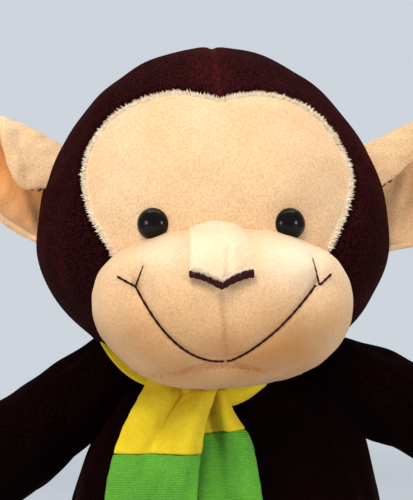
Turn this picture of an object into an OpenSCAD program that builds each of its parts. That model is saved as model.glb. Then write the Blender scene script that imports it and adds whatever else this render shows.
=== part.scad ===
// Seated stuffed monkey with a striped scarf, built from its separate fabric
// panels, fillings, safety eyes and scarf bands.
// Millimetres, +Z up, the face looks along -Y, and the origin is the centre of
// the flat seat. Left and right are the toy's own: its left is +X.

/* [Head] */
// Half the width of the head at its widest level
head_w = 79; // [72:1:84]
// Height of the head above its widest level
head_up = 88; // [80:1:96]
// Depth below the widest level that the head's curve would reach
head_down = 64; // [58:1:70]
// Front-to-back size of the head, as a share of its width
head_flat = 0.86; // [0.8:0.01:0.92]
// Height of the head's widest level above the table
head_z = 213.5; // [212:0.5:220]
// How far off the body's middle the head is sewn on
head_x = -5.5; // [-8:0.5:5]

/* [Face] */
// Radius of each of the two round lobes of the face panel
lobe_r = 38; // [34:1:40]
// Distance of each lobe's centre from the middle
lobe_x = 20; // [16:1:22]
// Diameter of a safety eye
eye_d = 13.5; // [10:0.5:15]
// Distance of each eye from the middle
eye_x = 29; // [26:1:32]

/* [Body] */
// Half the width of the body at its widest level
body_w = 76; // [70:1:80]
// Front-to-back size of the body, as a share of its width
body_flat = 0.88; // [0.84:0.01:0.92]
// Height of the body's widest level
body_z = 45; // [40:1:48]

/* [Limbs] */
// Droop of the left arm below the horizontal, in degrees
arm_left_droop = 23; // [15:1:35]
// Droop of the right arm below the horizontal, in degrees
arm_right_droop = 38; // [25:1:40]
// Length of a sleeve, from the shoulder to the hand's seam
sleeve_l = 100; // [90:1:110]
// Outward angle of each leg, in degrees
leg_out = 14; // [10:1:18]
// Length of a leg, from the hip to the foot's seam
leg_l = 72; // [66:1:80]

/* [Fabric] */
// Thickness of the plush with its pile
plush = 2; // [1.5:0.1:2.4]
// Thickness of the scarf
scarf_t = 2.4; // [1.8:0.2:3]
// Width of the scarf
scarf_w = 39; // [34:1:42]

/* [Hidden] */
$fn = 48;
slack = 0.2;      // room between a filling and its cover
play = 0.6;       // room around each ball that turns in its socket
big = 900;

dark = "#3a1715";
tan = "#f0c184";
yellow = "#e2cb25";
green = "#4aa52c";
filling = "#f4f2ec";

// Head and muzzle
neck_pivot = [-3, 0, 161];
neck_r = 20;
head_base = 168;  // the head is cut flat here, around the neck
muzzle_size = [56, 44, 34.5];
muzzle_at = [0, -52, 187.5];
chin_z = 165;
nose_w = 27;
nose_z = 199.5;
eye_z = 222.5;
eye_dome = 6.2;

// Body
body_curve = 2.5; // exponent of the body's outline
body_up = 113;
body_down = 50;
seat_r = 41;

// Limbs
shoulder = [58, 0, 151];
shoulder_scoop = 27;
arm_girth = [[0, 16], [30, 18.5], [55, 23], [100, 17.5]];
hip = [37, -50, 25.5];
hip_r = 24.8;
hip_mouth = 29; // half angle of the cone of room around each leg
hand_l = 42;
leg_girth = [[0, 24.8], [36, 25.2], [72, 20]];
foot_size = [25, 17, 33];
tail_pivot = [0, 54, 11];
tail_r = 9.5;
tail_root = 22;
tail_bend = 52;
tail_turn = 165;

// Ears: each is a shallow bowl of two layers, hinged along the head's side
ear_at = [78, 4, 240];
ear_lean = -14;
ear_size = [24, 29];
ear_bowl = 38;

// Scarf
front_tail_at = [-23, -54.4, 143.5];
rear_tail_at = [-1, -51.8, 138.2];
tail_slope = 15.5; // lean of the hanging ends away from upright

// ---------- helpers ----------

module ellipsoid(size) {
    scale(size) sphere(1);
}

// Everything on one side of the plane where coordinate k (0, 1, 2) is at.
module beyond(k, at, side) {
    shift = at + side * big / 2;
    translate([k == 0 ? shift : 0, k == 1 ? shift : 0, k == 2 ? shift : 0])
        cube(big, center = true);
}

module mirrored(side) {
    if (side < 0)
        mirror([1, 0, 0]) children();
    else
        children();
}

// Girth at a distance s along a limb, eased between the stations of a list.
// Girth of the hand at a distance s past its seam, closing to a rounded end.
function hand_girth(s) =
    (17.5 + 3.5 * sin(min(s / 18, 1) * 90)) * sqrt(max(0.0009, 1 - pow(max(0, s - 12) / (hand_l - 12), 2)));

function girth(list, s, i = 0) =
    i >= len(list) - 1 ? list[len(list) - 1][1] :
    s > list[i + 1][0] ? girth(list, s, i + 1) :
    let (t = (s - list[i][0]) / (list[i + 1][0] - list[i][0]))
        list[i][1] + (list[i + 1][1] - list[i][1]) * (1 - cos(180 * t)) / 2;

// Half outline of a limb as [radius, distance]: a round root, then the girths.
function limb_outline(list, less, reach, root) = concat(
    [[0, -root]],
    let (r = list[0][1] - less, low = acos(root / r))
        [for (i = [0 : 6])
            let (a = low + (90 - low) * i / 7)
            r * [sin(a), -cos(a)]],
    [for (i = [0 : 12]) [girth(list, i * reach / 12) - less, i * reach / 12]],
    [[0, reach]]
);

// ---------- body ----------

function body_r(z) = let (
    h = z > body_z ? (z - body_z) / body_up : (body_z - z) / body_down
) body_w * pow(1 - pow(min(h, 1), body_curve), 1 / body_curve);

body_top = body_z + body_up - 2;

module body_solid(less) {
    steps = 20;
    scale([1, body_flat, 1])
        rotate_extrude()
            polygon(concat(
                [[0, less]],
                [for (i = [0 : steps])
                    let (z = body_top * sin(90 * i / steps))
                    [body_r(z) - less, less + z * (body_top - 2 * less) / body_top]],
                [[0, body_top - less]]
            ));
}

// Room that the turning parts need in the body.
module body_sockets() {
    for (side = [-1, 1]) {
        translate([side * shoulder.x, shoulder.y, shoulder.z])
            sphere(shoulder_scoop);
        translate([side * hip.x, hip.y, hip.z])
            sphere(hip_r + play);
        translate([side * hip.x, hip.y, hip.z])
            rotate([90, 0, side * leg_out])
                translate([0, 0, -(hip_r + play) * sin(hip_mouth)])
                    cylinder(h = 52, r1 = (hip_r + play) * cos(hip_mouth),
                        r2 = (hip_r + play) * cos(hip_mouth) + 52 * tan(hip_mouth));
    }
    translate(tail_pivot)
        sphere(tail_r + 1 + play);
    translate(tail_pivot)
        rotate([-90, 0, 0])
            cylinder(h = 30, r1 = tail_r + 3, r2 = tail_r + 20);
    translate([neck_pivot.x, neck_pivot.y, 138])
        cylinder(h = 60, r = neck_r + play);
}

module torso_panel(side) {
    color(dark)
        difference() {
            body_solid(0);
            body_solid(plush);
            beyond(1, 0, -side);
            translate([0, 0, -1])
                cylinder(h = 5, r = seat_r + slack);
            body_sockets();
        }
}

module seat_panel() {
    color(dark)
        cylinder(h = plush, r = seat_r);
}

module torso_stuffing() {
    color(filling)
        difference() {
            body_solid(plush + slack);
            body_sockets();
        }
}

// ---------- neck and head ----------

module neck_stuffing() {
    color(filling) {
        translate([neck_pivot.x, neck_pivot.y, 138.5])
            cylinder(h = neck_pivot.z - 138.5, r = neck_r - 1);
        translate(neck_pivot)
            sphere(neck_r);
    }
}

module head_solid(less) {
    for (half = [[1, head_up], [-1, head_down]])
        intersection() {
            translate([0, 0, head_z])
                ellipsoid([head_w - less, head_w * head_flat - less, half[1] - less]);
            beyond(2, head_z, half[0]);
            beyond(2, head_base + less, 1);
        }
}

module muzzle_solid(less) {
    translate(muzzle_at)
        ellipsoid(muzzle_size - [less, less, less]);
}

// The face panel's outline, with two round lobes at the brow.
module face_outline(more) {
    for (side = [-1, 1])
        translate([side * lobe_x, head_z + 28.5])
            circle(lobe_r + more);
    translate([-36 - more, head_z - 30])
        square([72 + 2 * more, 40]);
}

module face_prism(more) {
    rotate([90, 0, 0])
        linear_extrude(height = 120)
            face_outline(more);
}

// Room inside the head for the neck's ball, with a wide mouth for nodding.
module neck_room() {
    translate(neck_pivot - [head_x, 0, 0]) {
        sphere(neck_r + play);
        translate([0, 0, -30])
            cylinder(h = 30, r1 = 34, r2 = neck_r + 1.5);
        cylinder(h = 9, r1 = neck_r + play, r2 = neck_r - 2);
    }
}

module head_panel(side) {
    color(dark)
        translate([head_x, 0, 0])
            difference() {
                head_solid(0);
                head_solid(plush);
                beyond(0, 0, -side);
                face_prism(0);
                muzzle_solid(0);
                neck_room();
            }
}

function head_y(x, z) = -head_w * head_flat
    * sqrt(1 - pow(x / head_w, 2) - pow((z - head_z) / head_up, 2));

// Carries its children to an eye, with +Z out of the face.
module at_eye(side) {
    y = head_y(eye_x, eye_z);
    out = atan2(eye_x / pow(head_w, 2), -y / pow(head_w * head_flat, 2));
    translate([head_x + side * eye_x, y, eye_z])
        rotate([85, 0, side * out])
            children();
}

module face_panel() {
    color(tan)
        difference() {
            translate([head_x, 0, 0])
                difference() {
                    intersection() {
                        head_solid(0);
                        face_prism(0);
                    }
                    head_solid(plush);
                    muzzle_solid(0);
                }
            for (side = [-1, 1])
                at_eye(side)
                    translate([0, 0, -8])
                        cylinder(h = 12, r = 2.4);
        }
}

module muzzle_shell() {
    translate([head_x, 0, 0])
        difference() {
            muzzle_solid(0);
            muzzle_solid(plush);
            head_solid(0);
            neck_room();
        }
}

module muzzle_panel(side) {
    color(tan)
        difference() {
            muzzle_shell();
            beyond(0, head_x, -side);
            beyond(2, chin_z, -1);
        }
}

module chin_panel() {
    color(tan)
        intersection() {
            muzzle_shell();
            beyond(2, chin_z, -1);
        }
}

// The folded flap of the nose bridge: flat sided, high at the nose's tip.
module nose_flap() {
    color(tan)
        translate([head_x, 0, 0])
            difference() {
                translate([-nose_w / 2, 0, 0])
                    rotate([90, 0, 90])
                        linear_extrude(height = nose_w)
                            polygon([[-60, 221], [-75, 219.5], [-88, 215], [-96.5, 208.5],
                                [-99.5, 203], [-99.5, nose_z], [-60, nose_z]]);
                muzzle_solid(0);
                head_solid(0);
            }
}

// Two short runs of thick thread that meet in a V under the nose.
module nose_stitching() {
    low = [0, -99, nose_z - 5.5];
    color(dark)
        translate([head_x, 0, 0])
            difference() {
                union() {
                    translate(low)
                        sphere(1.3);
                    for (side = [-1, 1])
                        translate(low)
                            rotate([0, side * 69, 0])
                                rotate([0, 0, side * 6])
                                    cylinder(h = 14.5, r = 1.3);
                }
                muzzle_solid(0);
                beyond(2, nose_z, 1);
            }
}

thread_r = 0.7;

function smile_z(x) = 167.5 + 30 * pow(abs(x) / 36, 1.5);

function muzzle_point(x, z) = [
    x,
    muzzle_at.y - (muzzle_size.y + thread_r + 0.3)
        * sqrt(1 - pow(x / (muzzle_size.x + thread_r), 2)
            - pow((z - muzzle_at.z) / (muzzle_size.z + thread_r), 2)),
    z
];

// A thread as one closed tube with 6 sides along the points of its path.
module thread(path) {
    sides = 6;
    n = len(path);
    rings = [for (i = [0 : n - 1])
        let (
            way = path[min(i + 1, n - 1)] - path[max(i - 1, 0)],
            along = way / norm(way),
            across = cross(along, [0, 1, 0]) / norm(cross(along, [0, 1, 0])),
            up = cross(across, along)
        )
        for (k = [0 : sides - 1])
            path[i] + thread_r * (across * cos(60 * k) + up * sin(60 * k))];
    walls = [for (i = [0 : n - 2], k = [0 : sides - 1])
        let (a = i * sides + k, b = i * sides + (k + 1) % sides)
        each [[a, b, a + sides], [b, b + sides, a + sides]]];
    first = [for (k = [1 : sides - 2]) [0, k + 1, k]];
    end = (n - 1) * sides;
    last = [for (k = [1 : sides - 2]) [end, end + k, end + k + 1]];
    polyhedron(concat(rings), concat(walls, first, last));
}

module mouth_stitching() {
    color(dark)
        translate([head_x, 0, 0])
            for (side = [-1, 1]) {
                thread([for (i = [0 : 16])
                    let (x = side * (1 + 41 * i / 16))
                    muzzle_point(x, smile_z(x))]);
                thread([for (i = [0 : 3])
                    let (x = side * (35 - 1.2 * i / 3))
                    muzzle_point(x, smile_z(side * 35) + 2.4 + 5 * i / 3)]);
            }
}

module safety_eye(side) {
    dome_r = (pow(eye_d / 2, 2) + pow(eye_dome, 2)) / (2 * eye_dome);
    color("#0c0a09")
        at_eye(side) {
            intersection() {
                translate([0, 0, eye_dome - dome_r + 0.1])
                    sphere(dome_r);
                translate([0, 0, 0.1])
                    cylinder(h = eye_dome + 1, r = eye_d / 2 + 1);
            }
            translate([0, 0, -9])
                cylinder(h = 10, r = 2);
        }
}

module eye_washer(side) {
    color("white")
        at_eye(side)
            translate([0, 0, -plush - 2.2])
                difference() {
                    cylinder(h = 1.4, r = 7);
                    translate([0, 0, -1])
                        cylinder(h = 4, r = 2.05);
                }
}

module head_stuffing() {
    color(filling)
        difference() {
            translate([head_x, 0, 0])
                difference() {
                    union() {
                        head_solid(plush + slack);
                        muzzle_solid(plush + slack);
                    }
                    neck_room();
                }
            for (side = [-1, 1])
                at_eye(side)
                    translate([0, 0, -9.6])
                        cylinder(h = 12, r = 7.4);
        }
}

// ---------- ears ----------

module ear_layer(side, inner, outer) {
    color(tan)
        translate([head_x, 0, 0])
            difference() {
                mirrored(side)
                    translate(ear_at)
                        rotate([0, ear_lean, 0])
                            intersection() {
                                translate([20, -32, 0])
                                    difference() {
                                        sphere(outer);
                                        sphere(inner);
                                    }
                                translate([20, 40, 0])
                                    rotate([90, 0, 0])
                                        linear_extrude(height = 60)
                                            scale(ear_size)
                                                circle(1);
                            }
                translate([0, 0, head_z])
                    ellipsoid([head_w + 2.5, head_w * head_flat + 2.5, head_up + 2.5]);
            }
}

// ---------- arms ----------

module at_shoulder(side, droop) {
    mirrored(side)
        translate(shoulder)
            rotate([0, droop, 0])
                children();
}

module arm_solid(less, reach, root) {
    rotate([0, 90, 0])
        rotate_extrude()
            polygon(limb_outline(arm_girth, less, reach, root));
}

module root_room() {
    sphere(9 + play);
    translate([-20, 0, 0])
        rotate([0, 90, 0])
            cylinder(h = 20, r1 = 20, r2 = 8);
}

module shoulder_stuffing(side) {
    color(filling)
        at_shoulder(side, 0)
            sphere(9);
}

module sleeve(side, droop) {
    color(dark)
        at_shoulder(side, droop)
            difference() {
                arm_solid(0, sleeve_l, 10);
                arm_solid(plush, sleeve_l, 9.5);
                translate([sleeve_l - 6, 0, 0])
                    rotate([0, 90, 0])
                        cylinder(h = 10, r = girth(arm_girth, sleeve_l - 6) - plush);
                translate([-30, 0, 0])
                    rotate([0, 90, 0])
                        cylinder(h = 21, r = 13);
            }
}

// A round mitten with a stub of a thumb on its upper front.
module hand_solid(less) {
    rotate([0, 90, 0])
        rotate_extrude()
            polygon(concat(
                [[0, sleeve_l]],
                [for (i = [0 : 12])
                    let (t = i / 12, s = hand_l * (1 - pow(1 - t, 2)))
                    [hand_girth(s) * (1 - less / 21), sleeve_l + s * (hand_l - less) / hand_l]],
                [[0, sleeve_l + hand_l - less]]
            ));
    translate([sleeve_l + 16, -7, 13])
        rotate([0, 40, -15])
            cylinder(h = 8, r = 8.5 - less);
    translate([sleeve_l + 16, -7, 13])
        rotate([0, 40, -15])
            translate([0, 0, 8])
                sphere(8.5 - less);
}

module hand_cover(side, droop) {
    color(tan)
        at_shoulder(side, droop)
            difference() {
                hand_solid(0);
                hand_solid(plush);
                beyond(0, sleeve_l, -1);
            }
}

module arm_stuffing(side, droop) {
    color(filling)
        at_shoulder(side, droop)
            difference() {
                union() {
                    arm_solid(plush + slack, sleeve_l + 1, 8.5);
                    hand_solid(plush + slack);
                }
                root_room();
            }
}

// ---------- legs ----------

// Carries its children to a hip, with +Z along the leg.
module at_hip(side) {
    translate([side * hip.x, hip.y, hip.z])
        rotate([90, 0, side * leg_out])
            children();
}

module leg_solid(less, reach, root) {
    rotate_extrude()
        polygon(limb_outline(leg_girth, less, reach, root));
}

module hip_stuffing(side) {
    color(filling)
        at_hip(side)
            sphere(12);
}

module leg_cover(side) {
    color(dark)
        at_hip(side)
            difference() {
                leg_solid(0, leg_l, 14);
                leg_solid(plush, leg_l, 13);
                translate([0, 0, leg_l - 4])
                    cylinder(h = 10, r = girth(leg_girth, leg_l - 4) - plush);
                translate([0, 0, -30])
                    cylinder(h = 18, r = 19);
                foot_solid(0);
            }
}

module foot_solid(less) {
    translate([0, 8, leg_l + 8])
        ellipsoid([foot_size.x - less, foot_size.z - less, foot_size.y - less]);
}

sole_at = leg_l + 19;

module foot_cover(side) {
    color(tan)
        at_hip(side)
            difference() {
                foot_solid(0);
                foot_solid(plush);
                beyond(2, sole_at, 1);
                translate([0, 0, leg_l - 20])
                    cylinder(h = 24, r = 16);
            }
}

module sole(side) {
    shrink = sqrt(1 - pow((sole_at - leg_l - 8) / foot_size.y, 2));
    color(tan)
        at_hip(side)
            translate([0, 8, sole_at])
                linear_extrude(height = plush)
                    scale([foot_size.x * shrink, foot_size.z * shrink])
                        circle(1);
}

module leg_stuffing(side) {
    color(filling)
        at_hip(side)
            difference() {
                union() {
                    difference() {
                        leg_solid(plush + slack, leg_l, 12);
                        foot_solid(plush);
                        beyond(2, leg_l - 12, 1);
                    }
                    difference() {
                        foot_solid(plush + slack);
                        beyond(2, sole_at - slack, 1);
                    }
                    translate([0, 0, leg_l - 20])
                        cylinder(h = 24, r = 15.6);
                }
                sphere(12 + play);
                translate([0, 0, -30])
                    cylinder(h = 30, r1 = 30, r2 = 11);
            }
}

// ---------- tail ----------

// Cross-section of the tail's cover, or of its filling when there is no inside.
module ring(outer, inside) {
    difference() {
        circle(outer);
        if (inside > 0)
            circle(inside);
    }
}

// A round end that closes a tube of the tail, followed by the given length.
module tail_end(outer, inside, length) {
    rotate_extrude() {
        intersection() {
            ring(outer, inside);
            translate([0, -outer])
                square(outer);
        }
        translate([inside, 0])
            square([outer - inside, length]);
    }
}

// The tail lies flat: a short straight root, then one long bend to the left.
module tail_tube(outer, inside) {
    translate(tail_pivot) {
        rotate([-90, 0, 0])
            tail_end(outer, inside, tail_root);
        translate([tail_bend, tail_root, 0]) {
            rotate([0, 0, 180 - tail_turn])
                rotate_extrude(angle = tail_turn)
                    translate([tail_bend, 0])
                        ring(outer, inside);
            rotate([0, 0, 180 - tail_turn])
                translate([tail_bend, 0, 0])
                    rotate([-90, 0, 0])
                        tail_end(outer, inside, 0.01);
        }
    }
}

module tail_cover() {
    color(dark)
        tail_tube(tail_r, tail_r - plush);
}

module tail_stuffing() {
    color(filling)
        tail_tube(tail_r - plush - slack, 0);
}

// ---------- scarf ----------

module scarf_neck_loop() {
    color(yellow)
        scale([1, body_flat, 1])
            rotate_extrude()
                polygon([
                    [24.5, body_top], [35.5, body_top - 4.9],
                    [36.4, body_top - 4.9 + scarf_t], [25, body_top + scarf_t]
                ]);
}

// The wrap where the two ends cross, below the chin.
module scarf_crossing() {
    color(yellow)
        translate([-26, 0, 0])
            rotate([90, 0, 90])
                linear_extrude(height = 42)
                    polygon([
                        [-33.4, body_top - 5.6], [-50.5, 141], [-53.2, 142],
                        [-50, 146.5], [-44, 150], [-34.4, body_top - 3.4]
                    ]);
}

// One hanging end, from `from` to `to` along its length, in its own slope.
module hanging_band(at, lean, from, to) {
    translate(at)
        rotate([-tail_slope, 0, 0])
            rotate([0, lean, 0])
                translate([-scarf_w / 2, -scarf_t, -to])
                    cube([scarf_w, scarf_t, to - from]);
}

module scarf_front(from, to, tint) {
    color(tint)
        hanging_band(front_tail_at, 12, from, to);
}

module scarf_rear(from, to, tint) {
    color(tint)
        hanging_band(rear_tail_at, -6, from, to);
}

// ---------- the toy ----------

torso_panel(-1);  // torso_front_panel
torso_panel(1);  // torso_back_panel
seat_panel();
torso_stuffing();
scarf_neck_loop();
scarf_crossing();
scarf_front(0, 26, yellow);  // scarf_front_yellow
scarf_front(26, 66, green);  // scarf_front_green
scarf_rear(0, 9, yellow);  // scarf_rear_yellow
scarf_rear(9, 54, green);  // scarf_rear_green
neck_stuffing();
head_panel(1);  // head_panel_left
head_panel(-1);  // head_panel_right
face_panel();
muzzle_panel(1);  // muzzle_panel_left
muzzle_panel(-1);  // muzzle_panel_right
chin_panel();
nose_flap();
nose_stitching();
mouth_stitching();
safety_eye(1);  // eye_left
safety_eye(-1);  // eye_right
eye_washer(1);  // eye_washer_left
eye_washer(-1);  // eye_washer_right
head_stuffing();
ear_layer(1, ear_bowl - plush, ear_bowl);  // ear_left_front_panel
ear_layer(1, ear_bowl, ear_bowl + plush);  // ear_left_back_panel
ear_layer(-1, ear_bowl - plush, ear_bowl);  // ear_right_front_panel
ear_layer(-1, ear_bowl, ear_bowl + plush);  // ear_right_back_panel
shoulder_stuffing(1);  // shoulder_left_stuffing
sleeve(1, arm_left_droop);  // arm_left_sleeve
arm_stuffing(1, arm_left_droop);  // arm_left_stuffing
hand_cover(1, arm_left_droop);  // hand_left_cover
shoulder_stuffing(-1);  // shoulder_right_stuffing
sleeve(-1, arm_right_droop);  // arm_right_sleeve
arm_stuffing(-1, arm_right_droop);  // arm_right_stuffing
hand_cover(-1, arm_right_droop);  // hand_right_cover
hip_stuffing(1);  // hip_left_stuffing
leg_cover(1);  // leg_left_cover
leg_stuffing(1);  // leg_left_stuffing
foot_cover(1);  // foot_left_cover
sole(1);  // sole_left
hip_stuffing(-1);  // hip_right_stuffing
leg_cover(-1);  // leg_right_cover
leg_stuffing(-1);  // leg_right_stuffing
foot_cover(-1);  // foot_right_cover
sole(-1);  // sole_right
tail_cover();
tail_stuffing();
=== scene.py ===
"""A seated stuffed monkey with a striped scarf: its looks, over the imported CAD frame.

Sizes are in millimetres in the row frame: the face looks along -Y, the toy's left is +X,
and the origin is the centre of the seat. Meshes are made in metres.
"""

import math

import bmesh
import bpy
import numpy as np
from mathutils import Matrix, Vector


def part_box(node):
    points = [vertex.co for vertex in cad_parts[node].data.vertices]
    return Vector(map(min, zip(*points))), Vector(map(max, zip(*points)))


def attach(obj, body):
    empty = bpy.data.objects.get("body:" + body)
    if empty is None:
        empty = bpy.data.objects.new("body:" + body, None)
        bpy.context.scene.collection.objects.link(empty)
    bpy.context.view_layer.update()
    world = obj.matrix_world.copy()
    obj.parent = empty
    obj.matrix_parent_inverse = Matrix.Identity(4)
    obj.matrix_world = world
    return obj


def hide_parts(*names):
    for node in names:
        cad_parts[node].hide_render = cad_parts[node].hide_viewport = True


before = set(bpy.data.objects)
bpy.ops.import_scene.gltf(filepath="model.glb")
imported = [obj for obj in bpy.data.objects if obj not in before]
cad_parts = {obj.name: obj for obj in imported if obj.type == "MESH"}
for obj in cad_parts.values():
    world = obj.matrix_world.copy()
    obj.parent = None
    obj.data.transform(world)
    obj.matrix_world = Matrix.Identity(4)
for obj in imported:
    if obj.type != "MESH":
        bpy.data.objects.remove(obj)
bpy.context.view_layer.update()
MM = 0.001
UP = np.array([0, 0, 1.0])


def cad_box(*nodes):
    """Lowest and highest corner of some CAD nodes together, in millimetres."""
    boxes = [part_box(n) for n in nodes]
    low = np.min([np.array(b[0]) for b in boxes], axis=0)
    high = np.max([np.array(b[1]) for b in boxes], axis=0)
    return low / MM, high / MM


# ---------- driving dimensions ----------

HEAD_LOW, HEAD_HIGH = cad_box("head_panel_left", "head_panel_right")
HEAD_X = (HEAD_LOW[0] + HEAD_HIGH[0]) / 2
HEAD_W = (HEAD_HIGH[0] - HEAD_LOW[0]) / 2
HEAD_D = HEAD_HIGH[1]
HEAD_UP = 88
HEAD_DOWN = 64
HEAD_Z = HEAD_HIGH[2] - HEAD_UP

NECK_Z = 157

FACE_CENTRE = np.array([0, 240.0])
FACE_ROLL = 8
# One side of the face panel's outline, from the notch at the brow to the muzzle
FACE_OUTLINE = [
    (0, 275.5), (6, 277.2), (17, 278.4), (31, 275.8), (43.2, 268.6), (52, 256.5), (55.7, 243),
    (53.7, 230), (48.9, 219.5), (43.6, 210), (36, 200), (18, 192), (0, 190),
]
MUZZLE = np.array([HEAD_X, -52, 190.5])
MUZZLE_W, MUZZLE_D, MUZZLE_UP, MUZZLE_DOWN = 55.5, 44, 31.5, 38.5
NOSE_X, NOSE_W, NOSE_Z, NOSE_RISE = -2.3, 12.6, 198.0, 4.6
SMILE_Z, SMILE_W, SMILE_RISE = 165.5, 37.5, 31.5
EYE_X, EYE_Z, EYE_R = 29, 222.5, 6.9
EAR_Y, EAR_BACK, EAR_Z = 3, 7, 240

BODY_W, BODY_FLAT, BODY_Z, BODY_UP, BODY_DOWN = 76, 0.88, 45, 113, 50
BODY_TOP = 156.5
LIMB_SIDES = 110
SHOULDER = (58, 0, 151)
SLEEVE_L, HAND_L = 100, 42
HIP = (37, -50, 25.5)
LEG_OUT, LEG_L = 14, 72
TAIL_ROOT = (0, 54, 11)

DARK = (0.0062, 0.0012, 0.0012)
TAN = (0.80, 0.50, 0.265)
YELLOW = (0.67, 0.50, 0.019)
GREEN = (0.105, 0.34, 0.032)
THREAD = (0.026, 0.0035, 0.004)


# ---------- numbers ----------

def smooth(low, high, x):
    t = np.clip((np.asarray(x, float) - low) / (high - low), 0, 1)
    return t * t * (3 - 2 * t)


def bell(x, width):
    return np.exp(-((np.asarray(x, float) / width) ** 2))


def spots(x, z, places):
    """Soft round spots seen from the front, as (strength, x, z, size), added up."""
    return sum(k * bell(np.hypot(x - at_x, z - at_z), size) for k, at_x, at_z, size in places)


def columns(*values):
    """One row for each point, with the values side by side."""
    return np.stack(values, axis=1)


def unit(vectors):
    return vectors / np.linalg.norm(vectors, axis=1)[:, None]


def circle(count):
    """Angles once round, evenly spaced."""
    return np.linspace(0, 2 * math.pi, count, endpoint=False)


def from_run(x, z, start, end):
    """Distance from each point to a straight run between two points."""
    run = np.subtract(end, start)
    t = np.clip(((x - start[0]) * run[0] + (z - start[1]) * run[1]) / (run @ run), 0, 1)
    return np.hypot(x - start[0] - t * run[0], z - start[1] - t * run[1])


def ripple(p, size, seed):
    """A smooth uneven field from -1 to 1 or so, with lumps of about that size."""
    rng = np.random.default_rng(seed)
    waves = 7
    total = np.zeros(len(p))
    for _ in range(waves):
        d = rng.normal(size=3)
        d *= 2 * math.pi * rng.uniform(0.6, 1.3) / (size * np.linalg.norm(d))
        total += np.sin(p @ d + rng.uniform(0, 2 * math.pi))
    return total / math.sqrt(waves)


def spline(points, count, closed=False):
    """A smooth curve through some points, as that many points spaced evenly."""
    p = np.array(points, float)
    n = len(p)
    ends = [p[-1], *p, p[0], p[1]] if closed else [2 * p[0] - p[1], *p, 2 * p[-1] - p[-2]]
    ends = np.array(ends)
    fine = []
    for i in range(n if closed else n - 1):
        a, b, c, d = ends[i:i + 4]
        t = np.linspace(0, 1, 24, endpoint=False)[:, None]
        fine.append(0.5 * (2 * b + (c - a) * t + (2 * a - 5 * b + 4 * c - d) * t ** 2
                           + (3 * b - a - 3 * c + d) * t ** 3))
    fine = np.vstack(fine + [p[:1] if closed else p[-1:]])
    length = np.concatenate([[0], np.cumsum(np.linalg.norm(np.diff(fine, axis=0), axis=1))])
    at = np.linspace(0, length[-1], count + 1 if closed else count)
    out = np.stack([np.interp(at, length, fine[:, k]) for k in range(p.shape[1])], axis=1)
    return out[:-1] if closed else out


def curve_1d(stations, at):
    """A smooth value at each distance, through (distance, value) stations."""
    s = np.array(stations, float)
    at = np.clip(np.asarray(at, float), s[0, 0], s[-1, 0])
    i = np.clip(np.searchsorted(s[:, 0], at) - 1, 0, len(s) - 2)
    t = (at - s[i, 0]) / (s[i + 1, 0] - s[i, 0])
    t = t * t * (3 - 2 * t)
    return s[i, 1] + (s[i + 1, 1] - s[i, 1]) * t


# ---------- meshes ----------

def turn_outward(o):
    """Turn every face of a closed mesh outward."""
    b = bmesh.new()
    b.from_mesh(o.data)
    bmesh.ops.recalc_face_normals(b, faces=b.faces)
    b.to_mesh(o.data)
    b.free()
    o.data.update()
    return o


def mesh_object(name, points, faces, soft=True):
    mesh = bpy.data.meshes.new(name)
    mesh.from_pydata((np.asarray(points, float) * MM).tolist(), [], [list(f) for f in faces])
    mesh.validate()
    mesh.update()
    mesh.polygons.foreach_set("use_smooth", [soft] * len(mesh.polygons))
    o = bpy.data.objects.new(name, mesh)
    bpy.context.scene.collection.objects.link(o)
    return o


def points_of(o):
    co = np.zeros(len(o.data.vertices) * 3, np.float32)
    o.data.vertices.foreach_get("co", co)
    return co.reshape(-1, 3).astype(float) / MM


def faces_of(o, first=0):
    return [tuple(first + i for i in f.vertices) for f in o.data.polygons]


def normals_of(o):
    n = np.zeros(len(o.data.vertices) * 3, np.float32)
    o.data.vertices.foreach_get("normal", n)
    return n.reshape(-1, 3).astype(float)


def move_points(o, points):
    o.data.vertices.foreach_set("co", (np.asarray(points) * MM).astype(np.float32).ravel())
    o.data.update()


def mark(o, name, values):
    """A value per point that the material reads, such as how deep in a seam it lies."""
    a = o.data.attributes.get(name) or o.data.attributes.new(name, "FLOAT", "POINT")
    a.data.foreach_set("value", np.asarray(values, np.float32))


def grid_faces(rows, columns, around=True):
    """Quads between rows of points, closed round each row when around is true."""
    out = []
    for i in range(rows - 1):
        for j in range(columns if around else columns - 1):
            k = (j + 1) % columns
            out.append((i * columns + j, i * columns + k, (i + 1) * columns + k, (i + 1) * columns + j))
    return out


def unit_ball(level):
    b = bmesh.new()
    bmesh.ops.create_icosphere(b, subdivisions=level, radius=1)
    points = np.array([v.co for v in b.verts], float)
    faces = [tuple(v.index for v in f.verts) for f in b.faces]
    b.free()
    return unit(points), faces


def apply_modifiers(o):
    bpy.context.view_layer.update()
    done = o.evaluated_get(bpy.context.evaluated_depsgraph_get())
    mesh = bpy.data.meshes.new_from_object(done)
    o.modifiers.clear()
    old, o.data = o.data, mesh
    bpy.data.meshes.remove(old)
    o.data.polygons.foreach_set("use_smooth", [True] * len(o.data.polygons))


def subdivide(o, levels):
    """Smooth a mesh by splitting its faces, along with the modifiers already on it."""
    m = o.modifiers.new("fine", "SUBSURF")
    m.levels = levels
    apply_modifiers(o)


def thicken(o, thickness):
    m = o.modifiers.new("thick", "SOLIDIFY")
    m.thickness = thickness * MM
    m.offset = 0
    subdivide(o, 1)


def drop_object(o):
    mesh = o.data
    bpy.data.objects.remove(o)
    bpy.data.meshes.remove(mesh)


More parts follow.
